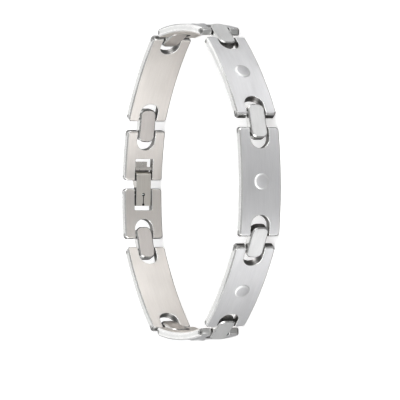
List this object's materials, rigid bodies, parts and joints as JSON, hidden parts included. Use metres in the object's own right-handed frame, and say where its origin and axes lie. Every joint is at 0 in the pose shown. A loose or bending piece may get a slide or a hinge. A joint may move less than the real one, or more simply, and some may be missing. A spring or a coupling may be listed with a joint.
{
  "type": "steel link bracelet",
  "caption": "Flexible men's wrist bracelet of arched brushed steel panels joined by small rounded links on cross pins, closed by a divided panel with a hinged snap tongue.",
  "frame": {"origin": "under the middle of the loop, on the surface that the panels' lower edges rest on", "axes": "+Z along the wrist, +Y from the middle of the loop towards the clasp, +X across the loop"},
  "size_m": [0.0714, 0.065, 0.0097],
  "materials": {
    "panel_steel": "satin, brushed along the panel's length, with bright bevelled edges",
    "link_steel": "satin, brushed along the link, with rounded bright edges",
    "disc_steel": "satin top with a bright turned bevel",
    "pin_steel": "plain drawn wire with dull ends",
    "tongue_steel": "satin, a little darker than the panels"
  },
  "bodies": {
    "bracelet": {"panel_1": "panel_steel", "panel_2": "panel_steel", "panel_3": "panel_steel", "panel_4": "panel_steel", "panel_5": "panel_steel", "panel_6": "panel_steel", "panel_7": "panel_steel", "disc_1": "disc_steel", "disc_2": "disc_steel", "disc_3": "disc_steel", "disc_4": "disc_steel", "disc_5": "disc_steel", "disc_6": "disc_steel", "disc_7": "disc_steel", "link_1": "link_steel", "link_2": "link_steel", "link_3": "link_steel", "link_4": "link_steel", "link_5": "link_steel", "link_6": "link_steel", "link_7": "link_steel", "link_8": "link_steel", "link_pin_1": "pin_steel", "link_pin_2": "pin_steel", "link_pin_3": "pin_steel", "link_pin_4": "pin_steel", "link_pin_5": "pin_steel", "link_pin_6": "pin_steel", "link_pin_7": "pin_steel", "link_pin_8": "pin_steel", "link_pin_9": "pin_steel", "link_pin_10": "pin_steel", "link_pin_11": "pin_steel", "link_pin_12": "pin_steel", "link_pin_13": "pin_steel", "link_pin_14": "pin_steel", "link_pin_15": "pin_steel", "link_pin_16": "pin_steel", "clasp_hinge_half": "panel_steel", "clasp_catch_half": "panel_steel", "clasp_hinge_pin": "pin_steel", "clasp_catch_bar": "pin_steel"},
    "tongue": {"clasp_tongue": "tongue_steel"}
  },
  "joints": [
    {"name": "tongue_hinge", "type": "hinge", "parent": "bracelet", "child": "tongue", "pos_m": [0.00122, 0.03107, 0.00475], "axis": [0, 0, 1], "range_deg": [0, 110]}
  ]
}
